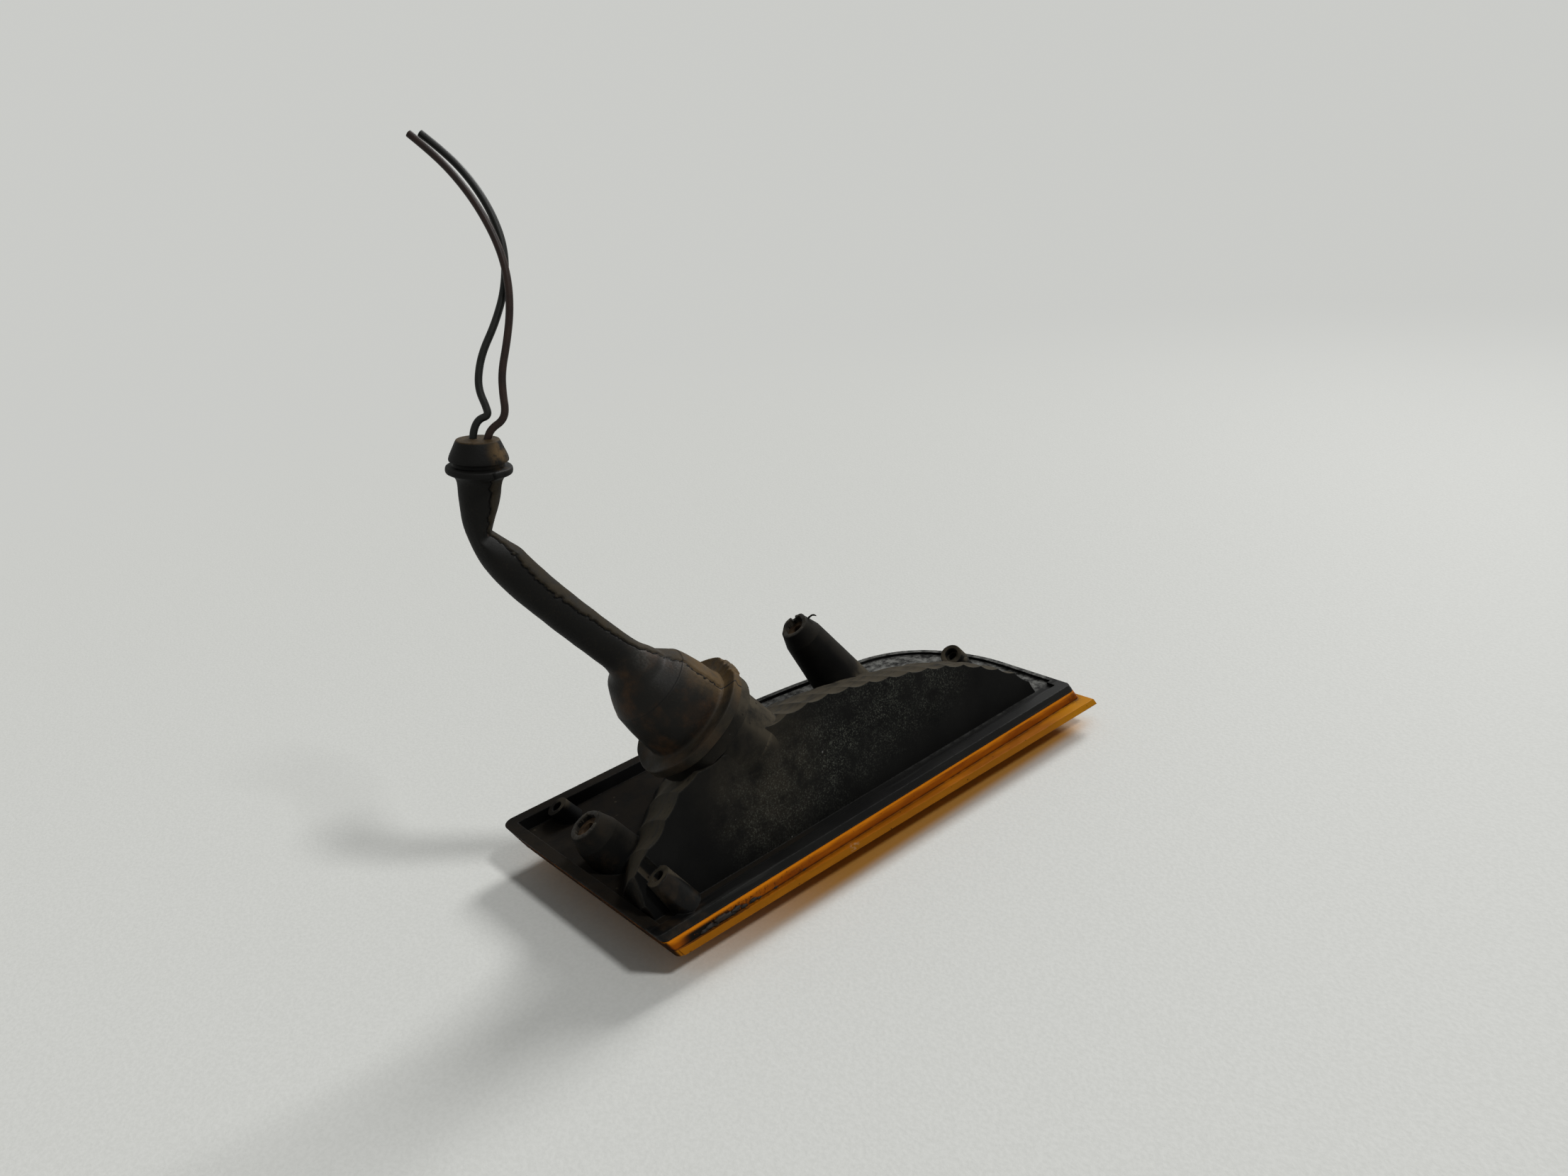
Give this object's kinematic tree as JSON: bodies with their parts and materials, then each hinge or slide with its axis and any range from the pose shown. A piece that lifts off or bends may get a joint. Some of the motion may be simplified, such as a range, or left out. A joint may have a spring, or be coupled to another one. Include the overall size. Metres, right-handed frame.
{
  "type": "vehicle indicator lamp",
  "caption": "Used amber vehicle indicator lamp: leaning black housing with a fluted reflector bowl, bonded lens, fixing towers, angled bulb neck, rubber boot and cut wires.",
  "frame": {"origin": "centre of the outer face of the left fixing insert, on the insert's axis", "axes": "+X along the straight long edge of the rim towards the tip of the lens, +Y to the far rounded edge, +Z from the lens to the back of the housing"},
  "size_m": [0.2187, 0.1018, 0.2448],
  "materials": {
    "housing_plastic": "moulded, dusty and scuffed",
    "amber_lens": "clear amber, glossy",
    "seal_rubber": "black sealant bead",
    "boot_rubber": "aged matt rubber with brown dust",
    "holder_plastic": "moulded",
    "sleeve_steel": "plated sheet",
    "cap_brass": "drawn",
    "bulb_glass": "clear",
    "solder": "dull tin",
    "contact_brass": "tinned strip",
    "black_insulation": "aged greenish black",
    "brown_insulation": "aged reddish brown",
    "insert_brass": "tarnished"
  },
  "bodies": {
    "root": {"housing": "housing_plastic", "lens": "amber_lens", "lens_seal": "seal_rubber", "rubber_boot": "boot_rubber", "bulb_holder": "holder_plastic", "bulb_sleeve": "sleeve_steel", "bulb_cap": "cap_brass", "bulb_glass": "bulb_glass", "bulb_contact": "solder", "contact_leaf": "contact_brass", "feed_blade": "contact_brass", "earth_blade": "contact_brass", "feed_receptacle": "contact_brass", "earth_receptacle": "contact_brass", "feed_wire": "black_insulation", "earth_wire": "brown_insulation", "fixing_insert_left": "insert_brass", "fixing_insert_right": "insert_brass"}
  },
  "joints": []
}
